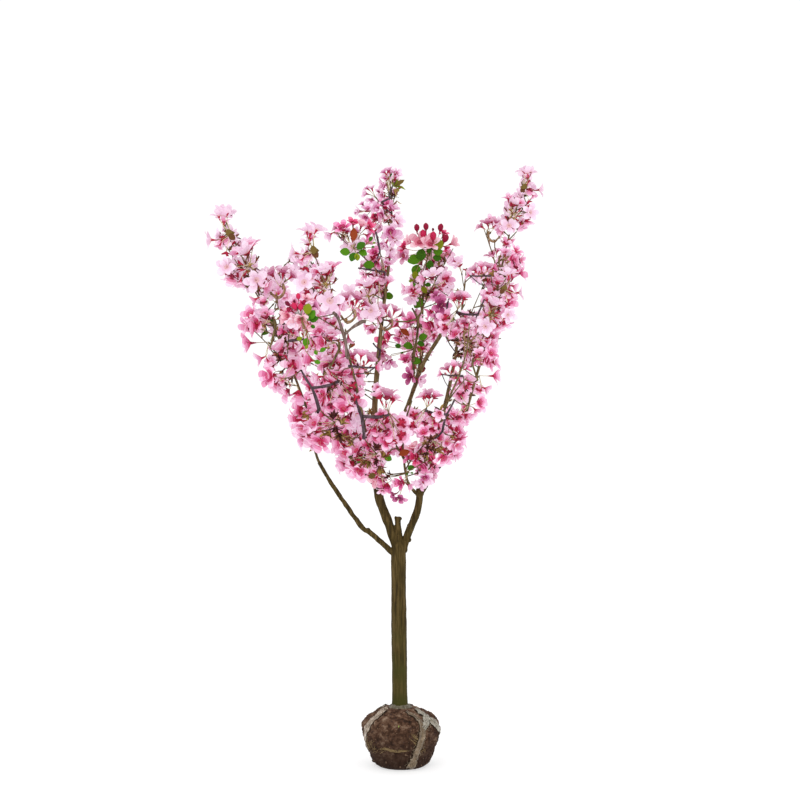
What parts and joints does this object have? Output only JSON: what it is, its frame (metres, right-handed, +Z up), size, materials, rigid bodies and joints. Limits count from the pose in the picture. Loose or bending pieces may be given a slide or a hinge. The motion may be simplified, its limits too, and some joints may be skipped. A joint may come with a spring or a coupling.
{
  "type": "flowering crabapple tree on its root ball",
  "caption": "Young flowering crabapple with a bare clear stem, a vase-shaped crown of blossom plumes and an earthen root ball tied with cloth strips.",
  "frame": {"origin": "centre of the flat underside of the root ball", "axes": "+Z up along the trunk, +X to the tree's right as seen from the front, the front looks along -Y"},
  "size_m": [0.9015, 0.7334, 1.6038],
  "materials": {
    "earth": "rough moist red-brown earth with fine roots",
    "cloth": "torn pale sacking strips",
    "bark": "smooth olive-brown young bark",
    "blossom": "pink petals with crimson buds, bright green leaves and dark twigs"
  },
  "bodies": {
    "root": {"root_ball": "earth", "cloth_collar": "cloth", "cloth_strip_left": "cloth", "cloth_strip_front": "cloth", "cloth_strip_right": "cloth", "cloth_strip_link": "cloth", "cloth_strip_back_right": "cloth", "cloth_strip_back_left": "cloth", "trunk": "bark", "bough_left": "bark", "bough_right": "bark", "bough_far_left": "bark", "bough_far_right": "bark", "bough_inner_right": "bark", "bough_front_left": "bark", "bough_back_left": "bark", "bough_front_right": "bark", "bough_back_right": "bark", "bough_low_left": "bark", "bough_low_right": "bark", "blossom_far_left": "blossom", "blossom_front_left": "blossom", "blossom_back_left": "blossom", "blossom_centre": "blossom", "blossom_back": "blossom", "blossom_right": "blossom", "blossom_front_right": "blossom", "blossom_back_right": "blossom", "blossom_low_left": "blossom", "blossom_low_right": "blossom"}
  },
  "joints": []
}
